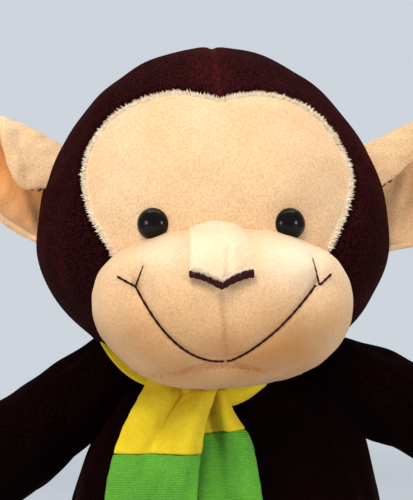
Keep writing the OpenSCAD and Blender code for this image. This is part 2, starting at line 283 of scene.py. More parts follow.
def plump(points, faces, voxel=5, cap=4.5):
    """A stuffed cover: its cloth starts a little small and is blown out until it wrinkles."""
    scene = bpy.context.scene
    o = turn_outward(mesh_object("pad", points, faces))
    m = o.modifiers.new("voxels", "REMESH")
    m.mode, m.voxel_size = "VOXEL", voxel * MM
    apply_modifiers(o)
    start = points_of(o) - 1.5 * normals_of(o)
    move_points(o, start)
    cloth = o.modifiers.new("cloth", "CLOTH")
    cloth.settings.use_pressure = True
    cloth.settings.uniform_pressure_force = 4
    cloth.settings.effector_weights.gravity = 0
    cloth.point_cache.frame_start, cloth.point_cache.frame_end = 1, 20
    for step in range(1, 21):
        scene.frame_set(step)
    done = o.evaluated_get(bpy.context.evaluated_depsgraph_get())
    blown = np.array([v.co for v in done.data.vertices], float) / MM
    scene.frame_set(1)
    o.modifiers.clear()
    move = blown - start
    length = np.linalg.norm(move, axis=1)
    move *= np.minimum(1, cap / np.maximum(length, 1e-6))[:, None]
    move_points(o, start + move)
    subdivide(o, 2)
    points, faces = points_of(o), faces_of(o)
    drop_object(o)
    return points, faces


def joined(name, parts):
    """Several new meshes as one object."""
    points, faces, start = [], [], 0
    for part in parts:
        points.append(points_of(part))
        faces += faces_of(part, start)
        start += len(part.data.vertices)
        drop_object(part)
    return mesh_object(name, np.vstack(points), faces)


def lathe(axis_at, radius, around, flat=1.0):
    """Rings of points round the X axis, with the distance along it and the angle of each."""
    s, r = np.repeat(axis_at, around), np.repeat(radius, around)
    t = np.tile(circle(around), len(axis_at))
    return columns(s, flat * r * np.sin(t), r * np.cos(t)), s, t


def closed_lathe(rows, around):
    """Faces of a lathe whose first and last rings are closed with fans."""
    faces = grid_faces(rows, around)
    faces.append(tuple(range(around))[::-1])
    faces.append(tuple((rows - 1) * around + j for j in range(around)))
    return faces


def tube(name, path, radius, sides):
    """A round thread along a path."""
    path = np.array(path, float)
    way = np.gradient(path, axis=0)
    way = unit(way)
    side = np.cross(way, [0, 1, 0])
    side = unit(side)
    up = np.cross(side, way)
    r = np.broadcast_to(radius, len(path))[:, None, None]
    a = circle(sides)[None, :, None]
    rings = path[:, None] + r * (side[:, None] * np.cos(a) + up[:, None] * np.sin(a))
    return turn_outward(mesh_object(name, rings.reshape(-1, 3), closed_lathe(len(path), sides)))


def fibres(name, roots, ways, facing, length, width, seed, spread):
    """Short tapering fibres, one thin triangle each, standing from their roots."""
    rng = np.random.default_rng(seed)
    roots, n = np.asarray(roots, float), len(roots)
    ways = np.asarray(ways, float) + rng.normal(scale=spread, size=(n, 3))
    ways = unit(ways)
    side = np.cross(ways, np.asarray(facing, float) + rng.normal(scale=0.3, size=(n, 3)))
    side = unit(side)
    long = length * rng.uniform(0.6, 1.25, n)[:, None]
    p = columns(roots - side * width / 2, roots + side * width / 2, roots + ways * long)
    faces = np.arange(3 * n).reshape(-1, 3).tolist()
    return mesh_object(name, p.reshape(-1, 3), faces, soft=False)


# ---------- materials ----------

def scaled(colour, k):
    return tuple(min(1.0, c * k) for c in colour)


class Surface:
    """A material in the making, with its textures laid out in the object's own coordinates."""

    def __init__(self, name):
        self.material = bpy.data.materials.new(name)
        self.material.use_nodes = True
        self.tree = self.material.node_tree
        self.shader = self.tree.nodes["Principled BSDF"]
        self.coords = self.add("TexCoord").outputs["Object"]

    def feed(self, socket, value):
        """Link an output into a socket, or set the socket to a number or a colour."""
        if isinstance(value, bpy.types.NodeSocket):
            self.tree.links.new(value, socket)
        elif socket.type == "RGBA":
            socket.default_value = (*value, 1)
        else:
            socket.default_value = value

    def set(self, node, inputs):
        for name, value in inputs.items():
            self.feed(node.inputs[name], value)

    def add(self, kind, inputs=None):
        node = self.tree.nodes.new(f"ShaderNode{kind}")
        self.set(node, inputs or {})
        return node

    def noise(self, scale, detail=2.0, rough=0.5, stretch=(1, 1, 1)):
        mapping = self.add("Mapping", {"Scale": stretch, "Vector": self.coords})
        node = self.add("TexNoise", {"Scale": scale, "Detail": detail, "Roughness": rough,
                                     "Vector": mapping.outputs["Vector"]})
        return node.outputs["Fac"]

    def ramp(self, source, *stops):
        """A colour for each value of the source, through (value, colour) stops."""
        node = self.add("ValToRGB", {"Fac": source})
        steps = node.color_ramp.elements
        for step, (at, colour) in ((steps[0], stops[0]), (steps[1], stops[-1])):
            step.position = at
            step.color = (*colour, 1)
        for at, colour in stops[1:-1]:
            steps.new(at).color = (*colour, 1)
        return node.outputs["Color"]

    def mix(self, share, a, b, mode="MIX"):
        node = self.add("Mix")
        node.data_type, node.blend_type = "RGBA", mode
        for slot, value in ((0, share), (6, a), (7, b)):
            self.feed(node.inputs[slot], value)
        return node.outputs[2]

    def bump(self, height, strength, distance):
        node = self.add("Bump", {"Strength": strength, "Distance": distance, "Height": height})
        self.feed(self.shader.inputs["Normal"], node.outputs["Normal"])

    def two_bumps(self, coarse, share, fine, strength, distance):
        """A bump from a coarse texture times its share, plus a fine texture."""
        node = self.add("Math")
        node.operation = "MULTIPLY_ADD"
        for socket, value in zip(node.inputs, (coarse, share, fine)):
            self.feed(socket, value)
        self.bump(node.outputs[0], strength, distance)

    def done(self, base, rough, shine=0.5, sheen=None):
        """The material, with its colour, roughness, mirror share and (weight, roughness, tint) sheen."""
        self.set(self.shader, {"Base Color": base, "Roughness": rough, "Specular IOR Level": shine})
        if sheen:
            names = ("Sheen Weight", "Sheen Roughness", "Sheen Tint")
            self.set(self.shader, dict(zip(names, sheen)))
        return self.material


def plush_material(name, colour, tip, deep, shade_tone, painted_light, sheen, grain, speck):
    """Short-pile plush: uneven patches, a fine grain of pile ends, dark seams, a deeper tone where a piece
    marks painted shade and a paler tone where it marks painted highlight."""
    s = Surface(name)
    patches = s.ramp(s.noise(38, 3, 0.55, (1, 1, 0.6)), (0.3, deep), (0.52, colour), (0.75, tip))
    pile = s.noise(1250, 3, 0.65, (1, 1, 0.75))
    base = s.mix(grain, patches, s.ramp(pile, (0.34, scaled(deep, 0.8)), (0.6, tip)))
    # seams darken to a deep tone; painted shade and then painted highlight are mixed in where pieces mark
    # them
    for attribute, tone in (("seam", scaled(deep, 0.5)), ("painted_shade", shade_tone), ("painted_highlight", painted_light)):
        node = s.add("Attribute")
        node.attribute_name = attribute
        base = s.mix(node.outputs["Fac"], base, tone)
    base = s.mix(1.0, base, s.ramp(pile, (0.38, (speck,) * 3), (0.6, (1, 1, 1))), "MULTIPLY")
    s.two_bumps(s.noise(330, 3, 0.6), 0.6, pile, 0.55, 0.0009)
    return s.done(base, 0.93, 0.025, sheen)


def knit_material(name, colour, deep, rib):
    """Brushed knit: soft mottling, and fine ribs across where rib is above 0."""
    s = Surface(name)
    tone = s.ramp(s.noise(60, 3, 0.6), (0.3, deep), (0.6, colour), (0.8, scaled(colour, 1.2)))
    wave = s.add("TexWave", {"Scale": 330, "Distortion": 3.2, "Detail": 3, "Detail Scale": 4,
                             "Vector": s.coords})
    wave.bands_direction = "Z"
    ribs = wave.outputs["Fac"]
    fuzz = s.noise(1400, 2, 0.6)
    base = s.mix(rib, tone, s.ramp(ribs, (0.1, scaled(deep, 0.75)), (0.6, scaled(colour, 1.2))))
    base = s.mix(0.25, base, s.ramp(fuzz, (0.35, deep), (0.65, scaled(colour, 1.3))))
    s.two_bumps(ribs, rib * 1.6, fuzz, 0.5, 0.0006)
    return s.done(base, 0.9, 0.2, (0.35, 0.45, scaled(colour, 1.6)))


def thread_material():
    """Satin thread: tight slanting strands with a soft shine."""
    s = Surface("thread")
    strand = s.noise(1600, 2, 0.5, (1, 1, 0.35))
    s.bump(strand, 0.6, 0.0004)
    return s.done(s.ramp(strand, (0.35, scaled(THREAD, 0.4)), (0.65, scaled(THREAD, 1.8))), 0.7, 0.12)


def eye_material():
    """Moulded black plastic: a deep brown-black under a hard gloss, faintly scuffed."""
    s = Surface("eye")
    tone = s.ramp(s.noise(160, 3), (0.3, (0.002, 0.0015, 0.0015)), (0.7, (0.006, 0.004, 0.003)))
    scuff = s.ramp(s.noise(700, 3), (0.4, (0.17,) * 3), (0.8, (0.24,) * 3))
    return s.done(tone, scuff, 0.17)


def filling_material():
    """Matted white polyester filling."""
    s = Surface("filling")
    tuft = s.noise(190, 6, 0.7)
    s.bump(tuft, 1.0, 0.002)
    return s.done(s.ramp(tuft, (0.3, (0.55, 0.54, 0.5)), (0.7, (0.9, 0.89, 0.85))), 1.0)


def washer_material():
    """Milky moulded washer with a faint swirl."""
    s = Surface("washer")
    swirl = s.noise(250, 2)
    return s.done(s.ramp(swirl, (0.3, (0.72, 0.72, 0.7)), (0.7, (0.86, 0.86, 0.84))), 0.45)


def floor_material():
    """A pale floor that is solid under the toy and fades out round it."""
    s = Surface("floor")
    tone = s.ramp(s.noise(3, 2), (0.3, (0.62, 0.66, 0.70)), (0.7, (0.66, 0.70, 0.74)))
    distance = s.add("VectorMath")
    distance.operation = "LENGTH"
    s.feed(distance.inputs[0], s.coords)
    fade = s.add("MapRange", {"From Min": 0.45, "From Max": 1.9, "To Min": 1.0, "To Max": 0.0,
                              "Value": distance.outputs["Value"]})
    fade.interpolation_type = "SMOOTHERSTEP"
    s.feed(s.shader.inputs["Alpha"], fade.outputs["Result"])
    return s.done(tone, 0.8)


# the second dark tone here is a painted reddish sheen highlight for the dark plush; the third is the shader's
# own sheen tint
DARK_TIP, DARK_HIGHLIGHT, DARK_SHEEN = (0.046, 0.0056, 0.0066), (0.11, 0.0135, 0.017), (0.9, 0.13, 0.1)
# the last tan tone here is the painted highlight tone of the tan plush
TAN_TIP, TAN_DEEP, TAN_HIGHLIGHT = (0.86, 0.60, 0.365), (0.72, 0.435, 0.22), (0.95, 0.80, 0.60)


def tan_plush(name, shade_tone):
    return plush_material(name, scaled(TAN, 0.98), TAN_TIP, TAN_DEEP, shade_tone, TAN_HIGHLIGHT,
                          (0.4, 0.5, (1.0, 0.88, 0.7)), 0.4, 0.93)


# Each look is a material and the slot its pieces are listed under
DARK_PLUSH = (plush_material("dark_plush", scaled(DARK, 1.3), DARK_TIP, scaled(DARK, 0.3), scaled(DARK, 2),
                             DARK_HIGHLIGHT, (0.045, 0.25, DARK_SHEEN), 0.6, 0.25), "dark_plush")
# a far darker copy of the head's dark plush, as painted shade for the body, arms, legs and tail
SHADED_BODY_PLUSH = (plush_material("body_plush_painted_shade", scaled(DARK, 0.4), scaled(DARK_TIP, 0.2), scaled(DARK, 0.12),
                             DARK, DARK_HIGHLIGHT, (0.03, 0.25, DARK_SHEEN), 0.6, 0.3), "dark_plush")
# the muzzle's painted shade tone, for its lower part that faces away from the light
TAN_PLUSH = (tan_plush("tan_plush", (0.54, 0.235, 0.073)), "tan_plush")
# the ears' painted shade tone: a bright orange that shows deep orange in the shadow of the cups
EAR_PLUSH = (tan_plush("ear_plush", (1.0, 0.42, 0.13)), "tan_plush")
SCARF_YELLOW = (knit_material("scarf_yellow", YELLOW, (0.56, 0.37, 0.008), 0.05), "scarf_yellow")
SCARF_GREEN = (knit_material("scarf_green", GREEN, (0.05, 0.2, 0.02), 0.42), "scarf_green")
STITCHES = (thread_material(), "thread")
EYE = (eye_material(), "eye")
FILLING = (filling_material(), "stuffing")
WASHER = washer_material()


# ---------- finishing a piece ----------

def finish_piece(o, look, body, replaced=()):
    """Give a piece its look, its body and the CAD nodes it stands for."""
    material, slot = look
    o.data.materials.clear()
    o.data.materials.append(material)
    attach(o, body)
    if replaced:
        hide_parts(*replaced)
    return o


def make_filling(name, covers, inset, body, replaced):
    """The filling under some covers: their joined shapes, drawn in by the cloth and slack."""
    parts = []
    for cover in covers:
        inner = mesh_object(f"{name}_part", points_of(cover) - inset * normals_of(cover), faces_of(cover))
        m = inner.modifiers.new("coarse", "DECIMATE")
        m.ratio = min(1.0, 5000 / len(inner.data.polygons))
        apply_modifiers(inner)
        parts.append(inner)
    o = joined(name, parts) if len(parts) > 1 else parts[0]
    o.name = name
    return finish_piece(o, FILLING, body, replaced)


# ---------- head ----------

def head_point(direction):
    """The head's surface in a direction from its middle: an egg above, a fuller curve below."""
    d = np.asarray(direction, float)
    flat = np.linalg.norm(d[:, :2], axis=1)
    below = d[:, 2] < 0
    power = np.where(below, 2 / 1.8, 1.0)
    reach = flat ** power
    rise = np.sign(d[:, 2]) * np.abs(d[:, 2]) ** power
    around = d[:, :2] / np.maximum(flat, 1e-9)[:, None]
    return columns(HEAD_W * reach * around[:, 0], HEAD_D * reach * around[:, 1],
                   rise * np.where(below, HEAD_DOWN, HEAD_UP))


def head_section(z):
    """The square of the head's width at a height, as a share of its widest."""
    h = np.asarray(z, float) - HEAD_Z
    above = 1 - (np.clip(h, 0, None) / HEAD_UP) ** 2
    below = (1 - np.clip(-h / HEAD_DOWN, 0, 0.999) ** 1.8) ** (2 / 1.8)
    return np.where(h > 0, above, below)


def head_front(x, z):
    """How far forward the head's surface is, at a place seen from the front."""
    return -HEAD_D * np.sqrt(np.clip(head_section(z) - (np.asarray(x, float) / HEAD_W) ** 2, 0, None))


def on_head(x, z):
    """Points of the head's surface at places seen from the front, and the way out from each."""
    y = head_front(x, z)
    out = unit(columns(x / HEAD_W ** 2, y / HEAD_D ** 2, (z - HEAD_Z) / HEAD_UP ** 2))
    return columns(x, y, z), out


def face_edge(count):
    """The face panel's outline; the half on the toy's right is a little wider."""
    other_half = [(-1.035 * x, z) for x, z in reversed(FACE_OUTLINE[1:-1])]
    return spline(FACE_OUTLINE + other_half, count, closed=True)


def distance_to_edge(x, z, edge):
    """Distance from each point to a closed outline, below 0 inside it."""
    best = np.full(len(x), 1e9)
    inside = np.zeros(len(x), bool)
    for a, b in zip(edge, np.roll(edge, -1, axis=0)):
        best = np.minimum(best, from_run(x, z, a, b))
        run = b - a
        crosses = (a[1] > z) != (b[1] > z)
        if abs(run[1]) > 1e-9:
            inside ^= crosses & (x < a[0] + (z - a[1]) * run[0] / run[1])
    return np.where(inside, -best, best)


def head_lumps(p):
    return 0.9 * ripple(p, 75, 3) + 0.35 * ripple(p, 22, 5)


def make_head():
    """The dark cover of the head, with its crown seam, sunk under the face panel."""
    directions, faces = unit_ball(7)
    p = head_point(directions)
    o = mesh_object("head_cover", p + [HEAD_X, 0, HEAD_Z], faces)
    front = p[:, 1] < -10
    d = distance_to_edge(p[:, 0], p[:, 2] + HEAD_Z, face_edge(120))
    under_face = np.where(front, 1 - smooth(-2.6, 0.4, d), 0)
    round_face = np.where(front, bell(d - 1, 2.4), 0)
    bare = np.where(front & (d < 0), 0, 1)
    from_seam = p[:, 0] + 0.06 * (p[:, 2] - 60)
    crown = bell(from_seam, 1.5) * bare
    puffed = bell(np.abs(from_seam) - 4.5, 4) * bare
    move = head_lumps(p) - 0.8 * crown + 0.35 * puffed - 1.2 * round_face - 5 * under_face
    q = points_of(o) + normals_of(o) * move[:, None]
    q[:, 2] = np.maximum(q[:, 2], NECK_Z + 0.06 * (q[:, 2] - NECK_Z))
    move_points(o, q)
    mark(o, "seam", 0.2 * crown + 0.5 * round_face)
    # painted sheen highlight: along the crown seam and beside it, and, stronger towards the toy's left, in a
    # ring just outside the face panel and in random patches
    painted_sheen = 0.5 * bell(d - 5, 5) * np.where(front, 1, 0) + 0.5 * smooth(0.25, 1.2, ripple(p, 26, 7))
    mark(o, "painted_highlight", np.clip(0.4 * crown + 0.12 * puffed + 0.16 * painted_sheen * smooth(-50, 20, p[:, 0]), 0, 1))
    return finish_piece(o, DARK_PLUSH, "head", ["head_panel_left", "head_panel_right"])


def make_face():
    """The two-lobed face panel: a low cushion over the head, rolled under at its edge."""
    around = 260
    edge = face_edge(around)
    reach = np.linalg.norm(edge - FACE_CENTRE, axis=1)
    rows, depth = [], []
    for inward in np.concatenate([[-0.6], np.linspace(0, FACE_ROLL, 17), np.linspace(10, 100, 34)[:-1]]):
        if inward > FACE_ROLL:
            share = (1 - FACE_ROLL / reach) * (1 - (inward - FACE_ROLL) / (100 - FACE_ROLL))
        else:
            share = 1 - inward / reach
        rows.append(FACE_CENTRE + (edge - FACE_CENTRE) * share[:, None])
        depth.append(np.full(around, min(inward, FACE_ROLL)))
    flat = np.vstack([*rows, FACE_CENTRE[None]])
    depth = np.concatenate([*depth, [FACE_ROLL]])
    x, z = flat[:, 0], flat[:, 1]
    p, out = on_head(x, z)
    puff = -0.3 + 1.9 * np.clip((depth + 0.7) / 6.5, 0, 1) ** 0.4
    bumps = 0.5 * ripple(p, 45, 11) + 0.16 * ripple(p, 11, 12)
    cheeks = spots(x, z, [(2.0, side * EYE_X, EYE_Z + 20, 20) for side in (-1, 1)])
    sockets = spots(x, z, [(-1.6, side * EYE_X, EYE_Z, 9) for side in (-1, 1)])
    middle = -1.4 * bell(x, 9) * smooth(225, 270, z)
    lumps = head_lumps(p - [0, 0, HEAD_Z])
    lift = puff + lumps + (bumps + cheeks + sockets + middle) * smooth(0, FACE_ROLL, depth)
    p = p + out * lift[:, None] + [HEAD_X, 0, 0]
    faces = grid_faces(len(rows), around)
    last = len(flat) - 1
    faces += [(last - around + j, last - around + (j + 1) % around, last) for j in range(around)]
    o = mesh_object("face_cover", p, [f[::-1] for f in faces])
    # painted highlight along the rolled-under rim above the muzzle, which faces away from the light
    mark(o, "painted_highlight", 0.55 * (1 - smooth(0.3, 2.5, depth)) * smooth(200, 206, z))
    finish_piece(o, TAN_PLUSH, "head", ["face_panel"])


def make_face_fringe():
    """Pile that stands up round the face panel's edge, above the muzzle."""
    roots = face_edge(13000)
    roots = roots[roots[:, 1] > 203]
    away = unit(roots - FACE_CENTRE)
    inset = np.random.default_rng(22).uniform(0.0, 1.3, len(roots))
    roots = roots - away * inset[:, None]
    base, out = on_head(roots[:, 0], roots[:, 1])
    rise = 1.9 * ((inset + 0.7) / 6.5) ** 0.4 - 0.4
    base += out * (rise + head_lumps(base - [0, 0, HEAD_Z]))[:, None] + [HEAD_X, 0, 0]
    ways = columns(away[:, 0], 0 * inset, away[:, 1]) + 0.55 * out
    tuft = (np.arange(len(roots)) % 9 == 0)[:, None]
    fringe = fibres("face_edge_pile", base, ways, out, 1.5 + 0.9 * tuft, 0.4 + 0.6 * tuft, 21, 0.25)
    # painted highlight: the fringe's fibres take the pale tone all over, though they stand in shade
    mark(fringe, "painted_highlight", np.ones(3 * len(roots)))
    finish_piece(fringe, TAN_PLUSH, "head")


# ---------- muzzle ----------

def chin_seam_z(x):
    a = np.abs(np.asarray(x, float))
    near = 163.2 - 2.1 * (1 - np.cos(2 * math.pi * a / 58))
    far = 159.2 + 0.016 * (a - 29) ** 2
    return np.where(a < 29, near, far)


def smile_z(x):
    """Height of the smile: rounder on the toy's right, straighter on its left."""
    power = np.where(np.asarray(x) < 0, 2.35, 1.42)
    return SMILE_Z + SMILE_RISE * (np.abs(x) / SMILE_W) ** power


def nose_edge_z(x):
    """Height of the nose flap's lower edge: a wide V with wings that flatten out."""
    return NOSE_Z + NOSE_RISE * (1 - np.clip(1 - np.abs(x) / NOSE_W, 0, 1) ** 1.6)


def muzzle_front(x, z):
    """How far forward the muzzle is, at a place seen from the front."""
    h = np.asarray(z, float) - MUZZLE[2]
    rise = np.abs(h) / np.where(h > 0, MUZZLE_UP, MUZZLE_DOWN)
    side = np.abs(np.asarray(x, float) / MUZZLE_W)
    return MUZZLE[1] - MUZZLE_D * np.clip(1 - side ** 2.2 - rise ** 2.2, 0, None) ** (1 / 2.3)


# The four short creases where the smile is drawn in, as (start, end) seen from the front
TUCKS = [((-37.2, 196.4), (-34, 205)), ((39, 197), (36.3, 208)),
         ((-37.2, 196.4), (-44.5, 200.5)), ((39, 197), (44, 201.5))]


def middle_x(z):
    """The middle seam leans from the smile's lowest point to the nose."""
    return NOSE_X * smooth(165, 197, z)


def muzzle_relief(x, z):
    """How far each place on the muzzle's front is pushed in or out, and how deep in a seam."""
    smile_x = np.abs(x) < SMILE_W + 1.5
    to_smile = np.where(smile_x, (z - smile_z(x)) / np.sqrt(1 + (1.6 * x / SMILE_W) ** 2), 99)
    stitch = bell(to_smile, 1.3)
    soft = bell(to_smile, 7)
    from_middle = x - middle_x(z)
    middle = bell(from_middle, 1.1) * smooth(162, 166, z) * (1 - smooth(193, 197, z))
    middle_soft = bell(from_middle, 7) * smooth(158, 168, z) * (1 - smooth(190, 198, z))
    chin = bell(z - chin_seam_z(x), 1.2)
    chin_soft = bell(z - chin_seam_z(x), 5)
    folds = sum(bell(from_run(x, z, a, b), 1.4) for a, b in TUCKS[:2])
    pits = spots(x, z, [(1.0, *a, 6.5) for a, _ in TUCKS[:2]])
    relief = (-0.9 * stitch - 1.1 * soft - 0.6 * middle - 1.4 * middle_soft
              - 1.3 * chin - 1.0 * chin_soft - 0.9 * folds - 2.0 * pits)
    cheeks = spots(x, z, [(3.0, 44, 208, 9), (2.0, -43, 206, 9), (2.4, 47, 186, 13), (2.2, -48, 184, 13),
                          (1.6, 20, 182, 15), (1.8, -20, 184, 15)])
    hollow = -2.2 * bell(np.hypot((x - 43) / 1.2, z - 168), 8) + 0.8 * bell(np.hypot(x + 30, z - 168), 9)
    return relief + cheeks + hollow, np.clip(0.12 * middle + 0.35 * chin + 0.25 * stitch + 0.15 * folds, 0, 1)


def make_muzzle():
    """The padded muzzle, drawn in along the smile, the middle seam and the chin seam."""
    d, faces = unit_ball(7)
    a = np.abs(d)
    reach = np.ones(len(d))
    size = columns(MUZZLE_W * reach, MUZZLE_D * reach, np.where(d[:, 2] > 0, MUZZLE_UP, MUZZLE_DOWN))
    for _ in range(12):
        full = (reach * a[:, 0]) ** 2.2 + (reach * a[:, 2]) ** 2.2 + (reach * a[:, 1]) ** 2.3
        reach *= full ** (-1 / 2.25)
    p = d * reach[:, None] * size
    x, z = p[:, 0], p[:, 2] + MUZZLE[2]
    o = mesh_object("muzzle_cover", p + MUZZLE, faces)
    n = normals_of(o)
    relief, seam = muzzle_relief(x, z)
    front = np.clip(-n[:, 1] * 1.6, 0, 1)
    lumps = 0.6 * ripple(p, 40, 31) + 0.14 * ripple(p, 10, 32)
    move_points(o, points_of(o) + n * (relief * front + lumps)[:, None])
    mark(o, "seam", seam * front)
    # painted shade: darker towards the bottom, less so on the toy's far left, with soft spots on the lower
    # cheeks, uneven
    low = 0.85 * (1 - smooth(150, 212, z)) * (1 - 0.5 * smooth(34, 52, x))
    low = low + 0.35 * bell(np.hypot(x - 24, z - 172), 18) + 0.12 * bell(np.hypot(x + 30, z - 186), 18)
    mark(o, "painted_shade", low + 0.10 * ripple(p, 18, 33) * (low > 0.05))
    # painted highlight on the upper cheeks, where the light falls from above
    mark(o, "painted_highlight", front * (0.65 * bell(np.hypot((x - 30) / 1.3, z - 210), 13)
                                + 0.3 * bell(np.hypot((x + 26) / 1.3, z - 212), 11)))
    return finish_piece(o, TAN_PLUSH, "head",
                        ["muzzle_panel_left", "muzzle_panel_right", "chin_panel"])


def on_muzzle(muzzle, x, z, out):
    """Points on the made muzzle at places seen from the front, moved out from it."""
    found = []
    for px, pz in zip(np.atleast_1d(x), np.atleast_1d(z)):
        hit, at, normal, _ = muzzle.ray_cast(
            Vector(((px + HEAD_X) * MM, -0.2, pz * MM)), Vector((0, 1, 0)))
        if not hit:
            at = Vector(((px + HEAD_X) * MM, float(muzzle_front(px, pz)) * MM, pz * MM))
            normal = Vector((0, -1, 0))
        found.append(np.array(at) / MM + np.array(normal) * out)
    return np.array(found)


def make_stitches(muzzle):
    """The smile with its tucks, and the satin stitching under the nose."""
    paths = []
    for side in (-1, 1):
        x = side * np.linspace(0.8, SMILE_W, 46)
        paths.append((x, smile_z(x)))
    for start, end in TUCKS:
        t = np.linspace(0, 1, 10)
        paths.append((start[0] + t * (end[0] - start[0]), start[1] + t * (end[1] - start[1])))
    runs = []
    for i, (x, z) in enumerate(paths):
        points = on_muzzle(muzzle, x, z, 0.15)
        wide = 0.47 + 0.1 * np.sin(np.arange(len(x)) * 2.1 + i)
        if 2 <= i < 4:
            wide = wide * np.linspace(0.9, 0.35, len(x))
        runs.append(tube(f"smile_run_{i}", points, wide, 8))
    o = joined("smile_stitching", runs)
    finish_piece(o, STITCHES, "head", ["mouth_stitching"])

    x = np.concatenate([np.linspace(-NOSE_W - 0.6, 0, 26), np.linspace(0, NOSE_W + 0.6, 26)[1:]])
    z = nose_edge_z(x) - 1.1
    points = on_muzzle(muzzle, x + NOSE_X, z, 1.0)
    points[:, 1] -= 2.0
    wide = 1.7 + 0.25 * np.sin(np.arange(len(x)) * 1.9) * np.cos(np.arange(len(x)) * 0.7)
    wide[[0, -1]] = 1.2
    o = tube("nose_stitch", points, wide, 12)
    finish_piece(o, STITCHES, "head", ["nose_stitching"])


def make_nose(muzzle):
    """The nose bridge: a folded flap, sharp on the toy's right, soft on its left."""
    across, along = 61, 56
    grid = np.meshgrid(np.linspace(-1.6, 1.6, across), np.linspace(0, 1, along))
    uu, vv = (g.ravel() for g in grid)
    inner = np.clip(uu, -1, 1)
    wide = NOSE_W + 0.3 - 1.2 * (1 - vv)
    x = inner * wide + (uu - inner) * np.where(uu < 0, 1.4, 17.0)
    low = nose_edge_z(x) + 0.4
    high = 224.5 - 1.6 * inner ** 2
    z = high + (low - high) * vv
    base = muzzle_front(x + NOSE_X, np.minimum(z, MUZZLE[2] + MUZZLE_UP - 2))
    base = np.minimum(base, head_front(x + NOSE_X, z) - 0.5)
    crown = 5.6 * (0.55 + 0.6 * vv - 0.15 * vv ** 4) * (1 - 0.10 * inner ** 2)
    edge = np.where(uu < 0, 1 - smooth(1.0, 1.45, -uu), 1 - smooth(0.3, 1.5, uu))
    fold = 1.6 * bell(x - 2.0 - 3.2 * (1 - vv), 1.6) * smooth(0.25, 0.6, vv)
    tip = 1 - smooth(0.93, 1.0, vv) * 0.55
    back = smooth(0.16, 0.0, vv)
    y = base - crown * edge * tip + fold * edge + 3.5 * (1 - edge) + 5.0 * back
    y = np.where(vv > 0.999, base + 1.5, y)
    p = columns(x + NOSE_X + HEAD_X, y, z)
    p[:, 1] -= 0.25 * ripple(p, 12, 41)
    o = mesh_object("nose_bridge", p, [f[::-1] for f in grid_faces(along, across, around=False)])
    subdivide(o, 1)
    q = points_of(o)
    # painted highlight over the nose flap, most around its middle height, fading out at its lower edge
    painted_light = 0.30 + 0.12 * bell(q[:, 2] - 216, 8)
    mark(o, "painted_highlight", painted_light * smooth(NOSE_Z - 3, NOSE_Z + 6, q[:, 2]))
    finish_piece(o, TAN_PLUSH, "head", ["nose_flap"])

    rng = np.random.default_rng(51)
    x = rng.uniform(-NOSE_W - 0.3, NOSE_W + 0.3, 1500)
    curl = rng.uniform(0, 1, len(x))
    z = nose_edge_z(x) + 0.6 + 1.6 * curl
    y = muzzle_front(x + NOSE_X, z) - 3.3 - 2.0 * curl
    roots = columns(x + NOSE_X + HEAD_X, y, z)
    ways = np.tile([0, -0.45, -1], (len(x), 1))
    pile = fibres("nose_edge_pile", roots, ways, (0, -1, 0.5), 1.6, 0.36, 52, 0.3)
    # painted highlight on the pile under the flap, which stands in its shadow
    mark(pile, "painted_highlight", np.full(3 * len(x), 0.8))
    finish_piece(pile, TAN_PLUSH, "head")


def make_seam_pile(muzzle):
    """Pile that stands up where it is caught in the chin's seam and the middle seam."""
    rng = np.random.default_rng(61)
    x = rng.uniform(-37, 35, 2200)
    z = chin_seam_z(x) + rng.normal(scale=0.7, size=len(x))
    zm = rng.uniform(165, 194, 320)
    xm = middle_x(zm) + rng.normal(scale=0.35, size=len(zm))
    x, z = np.concatenate([x, xm]), np.concatenate([z, zm])
    roots = on_muzzle(muzzle, x, z, -0.5)
    ways = np.tile([0, -0.9, 0.25], (len(x), 1))
    pile = fibres("seam_pile", roots, ways, (0, -0.8, 0.6), 1.5, 0.3, 62, 0.5)
    finish_piece(pile, TAN_PLUSH, "head")


def make_eyes():
    """Two domed safety eyes, each facing out from the head where it sits."""
    for side, word in ((1, "left"), (-1, "right")):
        out = EYE_X - 0.6 * (1 + side)
        at = Vector((HEAD_X + side * out, float(head_front(out, EYE_Z)) - 0.2, EYE_Z))
        directions, faces = unit_ball(5)
        n = Vector((side * EYE_X / HEAD_W ** 2, at.y / HEAD_D ** 2, 0.0)).normalized()
        turn = Vector((0, 0, 1)).rotation_difference(n).to_matrix()
        p = directions * [EYE_R, EYE_R, EYE_R * 0.88]
        p = p @ np.array(turn).T + np.array(at + n * 0.9)
        o = mesh_object(f"eye_bead_{word}", p, faces)
        finish_piece(o, EYE, "head", [f"eye_{word}"])


# ---------- ears ----------

def ear_section(u, side):
    """Middle height and half height of an ear, at a distance out from the head."""
    if side > 0:
        return 235.8 + 0.3 * u, (24.2 + 0.17 * u) * (1 - (np.clip(u - 10, 0, 29.9) / 30) ** 2.6) ** (1 / 2.2)
    return 236.5 + 0.49 * u, (23 + 0.1 * u) * (1 - (np.clip(u - 4, 0, 35.9) / 36) ** 2.1) ** (1 / 2.1)


def ear_fold(u, side):
    """How far the folded top edge hangs down, at a distance out from the head."""
    if side > 0:
        drop = 20.5 * (1 - (np.clip(u, 0, 34) / 34) ** 2)
    else:
        drop = (21 + 0.6 * u) * (1 - (np.clip(u - 10.5, 0, 13) / 13) ** 2)
    return np.clip(drop, 3.5, None)


def ear_cup(u):
    """How deep an ear is cupped, at a distance out from the head."""
    return 11.5 - 0.10 * u


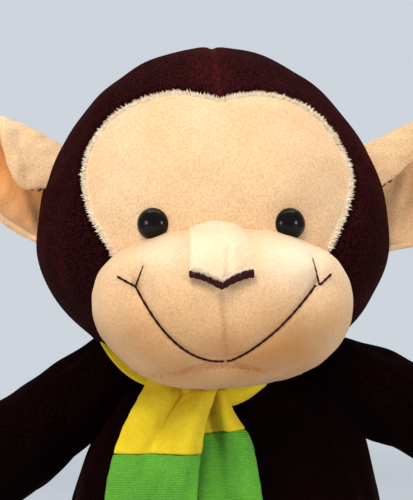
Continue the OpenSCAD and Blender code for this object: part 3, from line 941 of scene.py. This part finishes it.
def make_ear(side, word):
    """A two-layer ear, cupped forward, with its top edge folded over and tacked down."""
    across, flap_rows = 40, 18
    # share of painted shade in the cup: full in the toy's right ear, less in its left
    cup_shade = 1.0 if side < 0 else 0.3
    us = np.concatenate([np.linspace(-13, 28, 50), 40 - 12 * (1 - np.linspace(0, 1, 15)[1:]) ** 2])
    rows, depth = [], []
    for u in us:
        middle, half = ear_section(max(u, -7), side)
        t = np.linspace(-1, 1, across)
        z = middle + half * np.sin(t * math.pi / 2)
        rim = float(np.clip(1 - half / (ear_section(4, side)[1] + 0.17 * max(u - 4, 0)), 0, 1))
        y = EAR_BACK - ear_cup(u) * (rim + (1 - rim) * np.abs(t) ** 2.4)
        drop = min(float(ear_fold(u, side)), 1.3 * half)
        s = np.linspace(0, 1, flap_rows + 1)[1:]
        fz = middle + half - drop * s ** 1.15
        fy = y[-1] - 6.5 * np.sin(s * math.pi * 0.66) * min(1, drop / 9) - 0.8 * s
        rows.append(columns(np.full(across + flap_rows, u), np.append(y, fy), np.append(z, fz)))
        # painted shade per point: the cup's middle under the fold, and darker towards the folded flap's free
        # edge
        depth.append(np.concatenate([cup_shade * bell(t - 0.1, 0.8) * (1 - smooth(28, 40, u)), 0.2 * s ** 3]))
    p = np.vstack(rows)
    p[:, 1] += 0.5 * ripple(p, 24, 71 + side) - 0.9 * bell(p[:, 0] - 12 - 0.25 * (p[:, 2] - 235), 2.5)
    root = HEAD_W * math.sqrt(head_section(EAR_Z)) - 2.5
    p = columns(side * (root + p[:, 0]) + HEAD_X, p[:, 1] + EAR_Y, p[:, 2])
    o = mesh_object(f"ear_{word}_cover", p, grid_faces(len(us), across + flap_rows, around=False))
    mark(o, "painted_shade", np.clip(0.95 * np.concatenate(depth), 0, 1))
    thicken(o, 3.0)
    q = points_of(turn_outward(o))
    move_points(o, q + normals_of(o) * (0.25 * ripple(q, 9, 75))[:, None])
    finish_piece(o, EAR_PLUSH, f"ear_{word}", [f"ear_{word}_front_panel", f"ear_{word}_back_panel"])

    # the tacking thread wanders in and out of the fold's lower edge
    strands = []
    for i in range(2):
        u = np.linspace(1.5 + 2.5 * i, 6.5 + 4 * i, 40)
        middle, half = ear_section(u, side)
        y = EAR_Y + EAR_BACK - ear_cup(u) - 7.0 + 0.7 * np.sin(u * 1.7 + 2 * i)
        z = middle + half - ear_fold(u, side) + 0.7 * i - 0.2 + 0.5 * np.sin(u * 1.9 + i)
        path = columns(side * (root + u) + HEAD_X, y, z)
        strands.append(tube(f"tack_{i}", path, np.full(len(u), 0.24), 6))
    finish_piece(joined(f"ear_{word}_tacks", strands), STITCHES, f"ear_{word}")


# ---------- body and limbs ----------

def body_radius(z):
    h = np.where(z > BODY_Z, (z - BODY_Z) / BODY_UP, (BODY_Z - z) / BODY_DOWN)
    return BODY_W * (1 - np.clip(h, 0, 1) ** 2.5) ** 0.4


def make_body():
    """The seated body: flat below, puckered at the seat, and raised at the shoulders."""
    rows, around = 110, 180
    z = BODY_TOP * (1 - (1 - np.linspace(0, 1, rows)) ** 1.6)
    z[0] = 0.0
    r = body_radius(z)
    z = np.concatenate([np.zeros(8), z, np.full(6, BODY_TOP)])
    r = np.concatenate([np.linspace(1, r[0] - 2, 8), r, np.linspace(r[-1] - 2, 1, 6)])
    zz, aa, rr = np.repeat(z, around), np.tile(circle(around), len(z)), np.repeat(r, around)
    rr = rr + 5.0 * bell(zz - 143, 22) * np.abs(np.cos(aa)) ** 6
    p = columns(rr * np.cos(aa), BODY_FLAT * rr * np.sin(aa), zz)
    lumps = 1.3 * ripple(p, 60, 81) * smooth(3, 20, zz)
    p += columns(np.cos(aa), np.sin(aa), 0 * aa) * lumps[:, None]
    p, faces = plump(p, closed_lathe(len(z), around))
    o = turn_outward(mesh_object("body_cover", p, faces))
    aa, zz = np.arctan2(p[:, 1], p[:, 0]), p[:, 2]
    side_seam = bell(p[:, 1], 1.4) * smooth(2, 5, zz) * (np.abs(p[:, 0]) > 20)
    seat_seam = bell(zz - 3.2, 1.5) * (np.hypot(p[:, 0], p[:, 1]) > 38)
    folds = 0.8 * np.cos(9 * aa) * bell(zz - 6, 8) * smooth(3, 7, zz)
    move = 0.4 * ripple(p, 20, 82) * smooth(3, 20, zz) + folds - 1.6 * side_seam - 1.2 * seat_seam
    move = np.where(zz < 0.5, 0, move)
    q = points_of(o) + normals_of(o) * move[:, None]
    q[:, 2] += 3.5 * bell(np.abs(q[:, 0]) - 42, 16) * smooth(120, 148, q[:, 2])
    q[:, 2] = np.maximum(q[:, 2], 0)
    move_points(o, q)
    mark(o, "seam", 0.4 * side_seam + 0.4 * seat_seam)
    return finish_piece(o, SHADED_BODY_PLUSH, "torso", ["torso_front_panel", "torso_back_panel", "seat_panel"])


def cover(name, points, faces, seam, look, body, replaced, fill=0.8):
    """A closed padded cover with its seams marked."""
    o = turn_outward(mesh_object(name, points, faces))
    mark(o, "seam", seam)
    return finish_piece(o, look, body, replaced)


def placed(p, side, at, turn_y=0.0, turn_z=0.0):
    """Points made along +X, drooped, turned and set at a joint on one side."""
    cy, sy = math.cos(math.radians(turn_y)), math.sin(math.radians(turn_y))
    x, y, z = p[:, 0] * cy + p[:, 2] * sy, p[:, 1], -p[:, 0] * sy + p[:, 2] * cy
    cz, sz = math.cos(math.radians(turn_z)), math.sin(math.radians(turn_z))
    x, y = x * cz - y * sz, x * sz + y * cz
    return columns(side * (x + at[0]), y + at[1], z + at[2])


def placed_leg(p, side):
    """Leg points set at the hip, and no lower than the table."""
    q = placed(p, side, HIP, 0, LEG_OUT - 90)
    q[:, 2] = np.maximum(q[:, 2], 0.2)
    return q


def stuffed_limb(s, stations):
    """A plumped limb along +X: its points and faces, the distance along it and the angle round it."""
    p, _, _ = lathe(s, curve_1d(stations, s), LIMB_SIDES)
    p, faces = plump(p, closed_lathe(len(s), LIMB_SIDES), 4, 3)
    return p, faces, p[:, 0], np.arctan2(p[:, 1], p[:, 2])


def outward(angles):
    """The way out from a limb's middle line at each angle round it."""
    return columns(0 * angles, np.sin(angles), np.cos(angles))


def make_arm(side, word, droop):
    """A sleeve, tucked in at its root and at the wrist, and a mitten hand with a thumb."""
    s = np.concatenate([np.linspace(-29, -16, 9), np.linspace(-14, SLEEVE_L, 78)])
    p, faces, ss, tt = stuffed_limb(s, [(-29, 5), (-24, 14), (-12, 19.5), (12, 21.5), (50, 24), (78, 21.5),
                                        (100, 17.6)])
    pinch = bell(ss - SLEEVE_L, 3.2)
    root = bell(ss - 2, 13)
    under = bell(np.cos(tt) + 1, 0.02) * (ss > 4)
    folds = 0.9 * np.cos(11 * tt + side) * bell(ss - SLEEVE_L + 7, 7) + 0.9 * np.cos(7 * tt) * root
    lumps = 1.1 * ripple(p, 45, 91 + side) + 0.35 * ripple(p, 16, 93)
    p = p + outward(tt) * (lumps + folds - 1.3 * pinch - 1.2 * under)[:, None]
    sleeve = cover(f"sleeve_{word}", placed(p, side, SHOULDER, droop), faces, 0.4 * pinch + 0.3 * under,
                   SHADED_BODY_PLUSH, f"arm_{word}", [f"arm_{word}_sleeve"])

    s = SLEEVE_L - 2 + (HAND_L + 2) * np.sin(np.linspace(0, math.pi / 2, 44))
    tip = np.sqrt(np.clip(1 - (np.clip(s - 117, 0, None) / 25.3) ** 2.4, 0.0004, 1))
    r = curve_1d([(98, 15.5), (104, 18.5), (118, 21), (128, 19.5)], s) * tip
    p, ss, tt = lathe(s, r, LIMB_SIDES, flat=0.84)
    way = outward(tt)
    out = 0.5 * ripple(p, 22, 95 + side) + 0.7 * np.cos(11 * tt + side) * bell(ss - 103, 5)
    p = p + way * out[:, None] * smooth(142, 136, ss)[:, None]
    thumb = 9.5 * bell(np.hypot(ss - 116, (tt - math.pi * 1.82) * 20), 8.5)
    edge = bell(np.abs(np.sin(tt)) * 20, 1.2) * (ss > 101)
    p = p + (way + [0.2, 0, 0]) * thumb[:, None] - way * (0.7 * edge)[:, None]
    seam = 0.2 * edge + 0.3 * bell(ss - SLEEVE_L, 2.5)
    hand = cover(f"hand_{word}", placed(p, side, SHOULDER, droop), closed_lathe(len(s), LIMB_SIDES), seam,
                 TAN_PLUSH, f"arm_{word}", [f"hand_{word}_cover"])
    return [sleeve, hand]


def make_leg(side, word):
    """A leg that lies on the table, and a foot with a flat sole at its end."""
    s = np.concatenate([np.linspace(-25, -12, 7), np.linspace(-9, LEG_L, 60)])
    p, faces, ss, tt = stuffed_limb(s, [(-25, 6), (-19, 16), (-6, 24), (10, 25), (36, 25.2), (60, 22.5),
                                        (72, 20.5)])
    pinch = bell(ss - LEG_L, 3)
    lumps = 0.9 * ripple(p, 45, 101 + side) + 0.3 * ripple(p, 16, 102)
    folds = 0.8 * np.cos(8 * tt) * bell(ss - 4, 14) + 0.8 * np.cos(10 * tt) * bell(ss - LEG_L + 7, 6)
    p = p + outward(tt) * (lumps + folds - 1.2 * pinch)[:, None]
    leg = cover(f"leg_{word}", placed_leg(p, side), faces, 0.4 * pinch,
                SHADED_BODY_PLUSH, f"leg_{word}", [f"leg_{word}_cover"])

    d, faces = unit_ball(6)
    size = np.array([17.5, 25, 33])
    p = d * size
    sole = smooth(8, 12.5, p[:, 0])
    p[:, 0] = np.where(p[:, 0] > 11, 11 + (p[:, 0] - 11) * 0.25, p[:, 0])
    rim = bell(p[:, 0] - 9.5, 1.3)
    out = 0.5 * ripple(p, 24, 105 + side) - 0.9 * rim
    p = p + unit(d / size) * out[:, None] + [LEG_L + 8, 0, 8]
    foot = cover(f"foot_{word}", placed_leg(p, side), faces, 0.35 * rim * (sole < 0.9),
                 TAN_PLUSH, f"leg_{word}", [f"foot_{word}_cover", f"sole_{word}"])
    return [leg, foot]


def make_tail():
    """The tail: straight back from the body, then curled to the toy's left on the table."""
    bend, root, turn, r, around = 52, 22, 165, 9.8, 60
    path = [[0, y, 0] for y in np.linspace(-6, root, 12)]
    for a in np.linspace(0, math.radians(turn), 70)[1:]:
        path.append([bend * (1 - math.cos(a)), root + bend * math.sin(a), 0])
    path = np.array(path) + TAIL_ROOT
    way = unit(np.gradient(path, axis=0))
    quarter = np.linspace(0, math.pi / 2, 10)[1:]
    taper = np.maximum(np.concatenate([np.full(len(path), r), r * np.cos(quarter)]), 0.2)
    path = np.vstack([path, path[-1] + way[-1] * (9 * np.sin(quarter)[:, None])])
    way = np.vstack([way, np.tile(way[-1], (9, 1))])
    side = unit(np.cross(way, [0, 0, 1]))
    a = circle(around)[None, :, None]
    ring = side[:, None] * np.cos(a) + np.array([0, 0, 1]) * np.sin(a)
    p = (path[:, None] + taper[:, None, None] * ring).reshape(-1, 3)
    seam = np.tile(bell(np.cos(a.ravel() - math.pi * 0.15) - 1, 0.008), len(path))
    q = p + ring.reshape(-1, 3) * (0.5 * ripple(p, 22, 111) - 0.9 * seam)[:, None]
    q[:, 2] = np.maximum(q[:, 2], 0.8)
    return cover("tail", q, closed_lathe(len(path), around), 0.35 * seam,
                 SHADED_BODY_PLUSH, "tail", ["tail_cover"], 0.7)


# ---------- scarf ----------

def make_hanging_end(word, left, right, swell, count, cut, flats):
    """A hanging end between its left and right edges: yellow down to one of its rows, then green."""
    across = 26
    left, right = spline(left, count), spline(right, count)
    t = np.linspace(0, 1, across)
    rows = left[:, None] + (right - left)[:, None] * t[:, None]
    for i, row in enumerate(rows):
        row[:, 1] -= swell(t, i / (count - 1))
    parts = (("top", "yellow", SCARF_YELLOW, rows[:cut + 1]), ("end", "green", SCARF_GREEN, rows[cut:]))
    for (part, colour, look, some), flat in zip(parts, flats):
        faces = grid_faces(len(some), across, around=False)
        o = mesh_object(f"scarf_{word}_{part}", some.reshape(-1, 3), faces)
        thicken(o, 2.2)
        q = points_of(o)
        move_points(o, q + normals_of(o) * (0.12 * ripple(q, 5, 121))[:, None])
        finish_piece(o, look, f"scarf_{word}", [f"scarf_{word}_{colour}"])


def front_swell(t, v):
    """The front end's fold: a ridge that runs down from its top corner, and a hollow beside it."""
    ridge = 0.90 - 0.20 * v
    valley = 0.66 - 0.42 * v ** 0.7
    fade = 1 - smooth(0.25, 0.75, v)
    return (5.0 * bell(t - ridge, 0.12) * (1 - 0.6 * v) - 5.0 * bell(t - valley, 0.11) * fade
            + 2.6 * bell(t - 0.2, 0.25) + 1.4 * np.sin(math.pi * t) + 0.5 * np.sin(9 * t + 7 * v))


def rear_swell(t, v):
    """The rear end's fold: one ridge near its toy's left edge, and a hollow beside it."""
    return (4.8 * bell(t - 0.86, 0.2) - 3.6 * bell(t - 0.58, 0.14) + 0.8 * np.sin(math.pi * t)
            + 0.4 * np.sin(8 * t + 5 * v))


def make_scarf_ends():
    left = [(-36.5, -46, 156), (-41, -51.5, 148), (-45.5, -57, 140.5), (-50.8, -61.5, 128.5),
            (-54.4, -66, 114), (-56, -70.5, 98), (-56, -74.5, 80)]
    right = [(-5.5, -46, 156), (-8.5, -52.5, 149), (-12, -59, 140), (-14.2, -63.5, 128),
             (-16, -67.5, 114), (-16.8, -72, 98), (-17, -76, 80)]
    make_hanging_end("front", left, right, front_swell, 64, 28, ((0.038, 0.036), (0.039, 0.047)))
    left = [(-22, -46.5, 150), (-21.5, -51, 140), (-22, -54.5, 128), (-23.5, -59, 114),
            (-24, -62, 102), (-24, -65, 87)]
    right = [(-4, -45.5, 152), (0.2, -50.5, 141.5), (6.6, -55.5, 131), (9.6, -60.5, 117),
             (11.3, -64, 103), (11.9, -68, 88)]
    make_hanging_end("rear", left, right, rear_swell, 56, 16, ((0.026, 0.019), (0.037, 0.047)))


def make_scarf_wrap():
    """The wrap round the neck: it spreads over the toy's right shoulder and is narrow elsewhere."""
    around, across = 160, 34
    t = np.linspace(0, 1, across)[:, None]
    arch = np.sin(math.pi * t)
    rows = []
    for a in circle(around):
        way = np.array([math.sin(a), -math.cos(a), 0])
        spread = max(0.0, -math.sin(a))
        tight = float(smooth(0.1, 0.8, math.sin(a)))
        behind = float(smooth(-0.1, 0.7, -math.cos(a)))
        inner = np.array([25, 23, 0]) * way + [0, 0, 163.0]
        reach = 38 + 20 * spread ** 1.2 - 8 * tight
        outer = reach * np.array([1, 0.93, 0]) * way + [0, 0, 150.5 + 22 * spread ** 7 + 6 * tight]
        ridges = behind * 1.7 * np.sin(4 * math.pi * t + 1.6 * math.sin(2 * a) + 0.8) * arch
        edge = behind * (1.9 * math.sin(3 * a + 0.5) + 1.1 * math.sin(7 * a + 2)) * t ** 2
        wave = 0.9 * math.sin(5 * a + 1) * np.sin(math.pi * t ** 1.3)
        rows.append(inner + (outer - inner) * t + (way + UP) * 3.5 * arch + (way + 0.8 * UP) * ridges
                    + (0.5 * way - UP) * edge + UP * wave)
    points = np.array(rows).reshape(-1, 3)
    faces = [tuple(i % len(points) for i in f) for f in grid_faces(around + 1, across, around=False)]
    o = mesh_object("scarf_wrap", points, faces)
    thicken(o, 2.4)
    finish_piece(o, SCARF_YELLOW, "torso", ["scarf_neck_loop"])


def make_scarf_fold():
    """The fold where the ends cross, drawn up to the toy's left under the chin."""
    count, around = 50, 40
    path = spline([(-33, -42, 156.5), (-20, -47.5, 151.5), (-6, -48, 149.3), (5, -44.5, 151.5),
                   (15, -38, 157)], count)
    a = circle(around)
    high = 5.6 * (0.75 + 0.25 * np.sin(math.pi * np.linspace(0, 1, count)))
    crease = 1 - 0.14 * bell(np.sin(a) - 0.2, 0.25) * (np.cos(a) < 0)
    rings = [centre + columns(0 * a, 2.6 * np.cos(a) * crease, h * np.sin(a))
             for centre, h in zip(path, high)]
    o = turn_outward(mesh_object("scarf_fold", np.vstack(rings), closed_lathe(count, around)))
    finish_piece(o, SCARF_YELLOW, "torso", ["scarf_crossing"])


# ---------- inside, stage, camera ----------

def dress_cad():
    """The fillings and washers that stay as CAD nodes get their materials."""
    for name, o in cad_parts.items():
        if "stuffing" in name:
            o.data.materials.clear()
            o.data.materials.append(FILLING[0])
        elif "washer" in name:
            o.data.materials.clear()
            o.data.materials.append(WASHER)


def make_stage():
    """A pale round floor that fades out into the plain backdrop."""
    a = circle(96)
    points = columns(3000 * np.cos(a), 3000 * np.sin(a), 0 * a)
    o = mesh_object("floor", points, [tuple(range(96))], soft=False)
    o.data.materials.append(floor_material())


def add_area(name, at, aim, size, power, colour=(1, 1, 1)):
    light = bpy.data.lights.new(name, "AREA")
    light.shape = "RECTANGLE"
    light.size, light.size_y = size
    light.energy = power
    light.color = colour
    o = bpy.data.objects.new(name, light)
    o.location = at
    o.rotation_euler = (Vector(aim) - Vector(at)).to_track_quat("-Z", "Y").to_euler()
    bpy.context.scene.collection.objects.link(o)
    return o


def make_light_and_camera():
    scene = bpy.context.scene
    world = bpy.data.worlds.new("studio")
    scene.world = world
    world.use_nodes = True
    nodes, links = world.node_tree.nodes, world.node_tree.links
    nodes["Background"].inputs["Color"].default_value = (0.86, 0.92, 1.0, 1)
    seen = nodes.new("ShaderNodeMapRange")
    seen.inputs["To Min"].default_value = 0.4
    seen.inputs["To Max"].default_value = 0.72
    links.new(nodes.new("ShaderNodeLightPath").outputs["Is Camera Ray"], seen.inputs["Value"])
    links.new(seen.outputs["Result"], nodes["Background"].inputs["Strength"])
    aim = (0, -0.05, 0.2)
    key = add_area("key", (-0.35, -0.9, 1.45), aim, (0.6, 0.6), 17, (1.0, 0.98, 0.94))
    key.visible_glossy = False
    add_area("side_left", (-1.0, -0.75, 0.34), aim, (0.3, 0.34), 4.5, (1.0, 0.98, 0.96))
    add_area("side_right", (0.95, -0.85, 0.36), aim, (0.24, 0.28), 5, (1.0, 0.98, 0.96))
    add_area("top", (0.0, 0.25, 1.3), aim, (1.2, 0.9), 9)
    scene.view_settings.view_transform = "Standard"
    camera = bpy.data.cameras.new("camera")
    camera.lens, camera.sensor_width = 160, 36
    camera.clip_start, camera.clip_end = 0.01, 20
    camera.dof.use_dof = False
    o = bpy.data.objects.new("camera", camera)
    aim = Vector((-0.009, 0, 0.2115))
    turn = math.radians(-3)
    o.location = aim + Vector((math.sin(turn), -math.cos(turn), 0)) * 1.0
    o.rotation_euler = (aim - o.location).to_track_quat("-Z", "Y").to_euler()
    scene.collection.objects.link(o)
    scene.camera = o


# ---------- the toy ----------

body = make_body()
make_filling("body_filling", [body], 5, "torso", ["torso_stuffing"])
for side, word, droop in ((1, "left", 23), (-1, "right", 38)):
    arm = make_arm(side, word, droop)
    make_filling(f"arm_{word}_filling", arm, 4, f"arm_{word}", [f"arm_{word}_stuffing"])
    leg = make_leg(side, word)
    make_filling(f"leg_{word}_filling", leg, 4, f"leg_{word}", [f"leg_{word}_stuffing"])
    make_ear(side, word)
tail = make_tail()
make_filling("tail_filling", [tail], 2.5, "tail", ["tail_stuffing"])
head = make_head()
make_face()
make_face_fringe()
muzzle = make_muzzle()
make_filling("head_filling", [head, muzzle], 6, "head", ["head_stuffing"])
make_nose(muzzle)
make_stitches(muzzle)
make_seam_pile(muzzle)
make_eyes()
make_scarf_ends()
make_scarf_wrap()
make_scarf_fold()
dress_cad()
make_stage()
make_light_and_camera()
